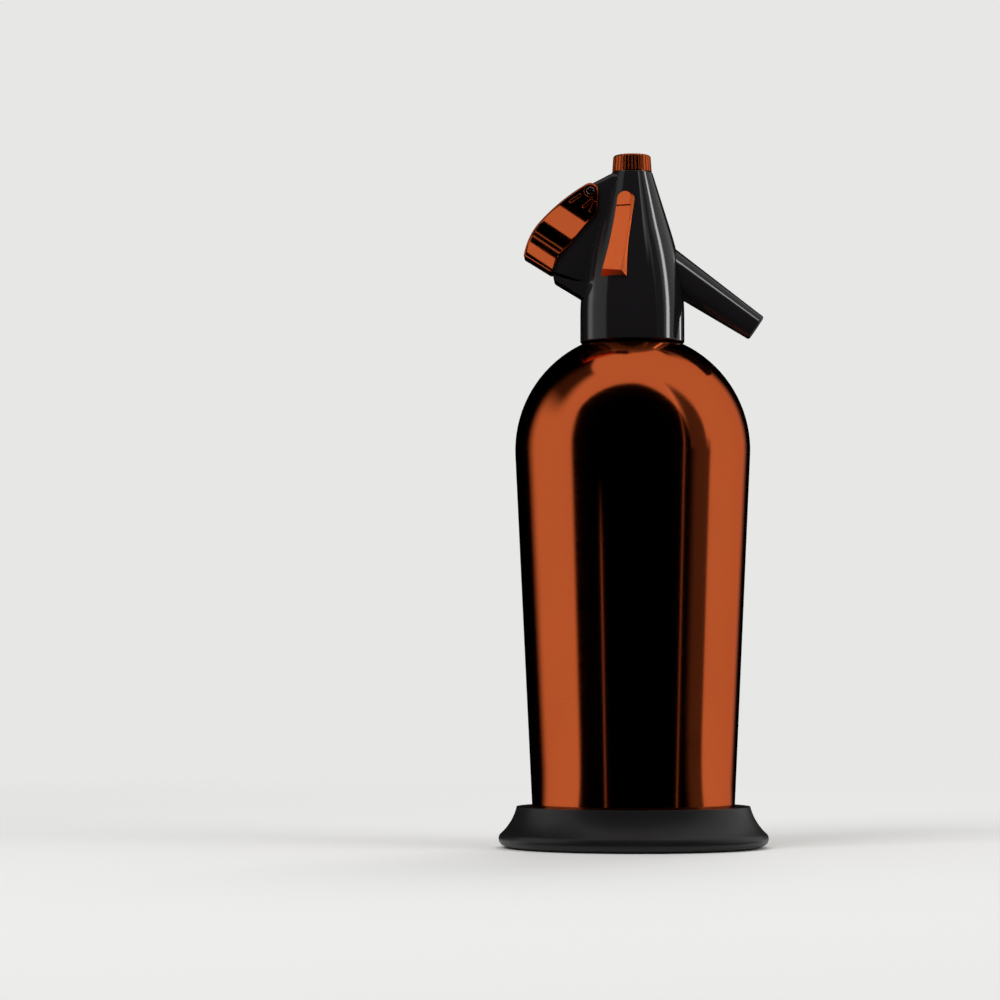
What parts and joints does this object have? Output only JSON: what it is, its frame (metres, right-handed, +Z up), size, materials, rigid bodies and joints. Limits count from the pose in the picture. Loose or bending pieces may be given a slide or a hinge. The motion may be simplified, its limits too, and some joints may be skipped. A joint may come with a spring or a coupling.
{
  "type": "soda siphon",
  "caption": "Soda siphon: domed metal bottle in a flared foot, black screw-on head with a squeeze lever, slanted spout and capped gas inlet.",
  "frame": {"origin": "middle of the underside of the foot ring, where the siphon stands", "axes": "+Z up along the bottle, +X towards the spout, -X towards the lever, so the head's mid-plane is XZ"},
  "size_m": [0.1188, 0.1188, 0.3066],
  "materials": {
    "bottle_metal": "bright spun aluminium, copper-orange lacquer",
    "lever_metal": "bright pressed aluminium, copper-orange anodised",
    "cap_metal": "bright turned aluminium, copper-orange anodised",
    "bright_trim": "bright pressed aluminium, copper-orange anodised",
    "thread_metal": "plain machined",
    "black_gloss": "glossy black moulding",
    "black_rubber": "matt",
    "seal_rubber": "satin",
    "white_plastic": "natural moulded",
    "turned_brass": "turned",
    "plain_steel": "zinc plated",
    "bright_steel": "polished",
    "spring_steel": "drawn wire"
  },
  "bodies": {
    "bottle": {"bottle": "bottle_metal", "neck_ring": "thread_metal", "base": "black_gloss", "foot_ring": "black_rubber", "base_pad": "black_rubber", "base_stud": "plain_steel", "base_washer": "plain_steel", "base_nut": "plain_steel"},
    "dip_tube": {"dip_tube": "white_plastic", "tube_flange": "white_plastic", "neck_gasket": "seal_rubber"},
    "head": {"head_moulding": "black_gloss", "skirt_insert": "thread_metal", "stem_guide": "turned_brass", "stem_seal": "seal_rubber", "valve_seat": "white_plastic", "valve_spring": "spring_steel", "spout": "black_gloss", "flow_straightener": "white_plastic", "lever_pin": "bright_steel", "side_bar_right": "bright_trim", "side_bar_left": "bright_trim", "charging_inlet": "turned_brass", "piercing_pin": "bright_steel", "charger_seal": "seal_rubber", "check_spring": "spring_steel", "check_plug": "turned_brass"},
    "lever": {"lever": "lever_metal"},
    "stem": {"valve_stem": "bright_steel", "valve_washer": "seal_rubber", "stem_nut": "turned_brass"},
    "check_ball": {"check_ball": "bright_steel"},
    "cap_liner": {"cap_liner": "seal_rubber"},
    "cap": {"charging_cap": "cap_metal"}
  },
  "joints": [
    {"name": "head_rise", "type": "slide", "parent": "bottle", "child": "dip_tube", "axis": [0, 0, 1], "range_m": [0, 0.00613]},
    {"name": "head_turn", "type": "hinge", "parent": "dip_tube", "child": "head", "pos_m": [0, 0, 0.2417], "axis": [0, 0, 1], "range_deg": [0, 630]},
    {"name": "lever_squeeze", "type": "hinge", "parent": "head", "child": "lever", "pos_m": [-0.0184, 0, 0.2896], "axis": [0, -1, 0], "range_deg": [0, 12], "stiffness_Nm_per_rad": 0.02, "springref_deg": -28.65},
    {"name": "stem_push", "type": "slide", "parent": "head", "child": "stem", "axis": [0.8241, 0, -0.5664], "range_m": [0, 0.00172], "deforming": ["valve_spring"]},
    {"name": "check_lift", "type": "slide", "parent": "head", "child": "check_ball", "axis": [0, 0, -1], "range_m": [0, 0.0009], "stiffness_N_per_m": 15, "springref_m": -0.0008, "deforming": ["check_spring"]},
    {"name": "cap_rise", "type": "slide", "parent": "head", "child": "cap_liner", "axis": [0, 0, 1], "range_m": [0, 0.003]},
    {"name": "cap_turn", "type": "hinge", "parent": "cap_liner", "child": "cap", "pos_m": [0, 0, 0.3046], "axis": [0, 0, 1], "range_deg": [0, 720]}
  ],
  "couplings": [
    {"joint": "head_rise", "follows": "head_turn", "m_per_rad": 0.00055704},
    {"joint": "stem_push", "follows": "lever_squeeze", "m_per_rad": 0.0082034},
    {"joint": "cap_rise", "follows": "cap_turn", "m_per_rad": 0.00023873}
  ]
}
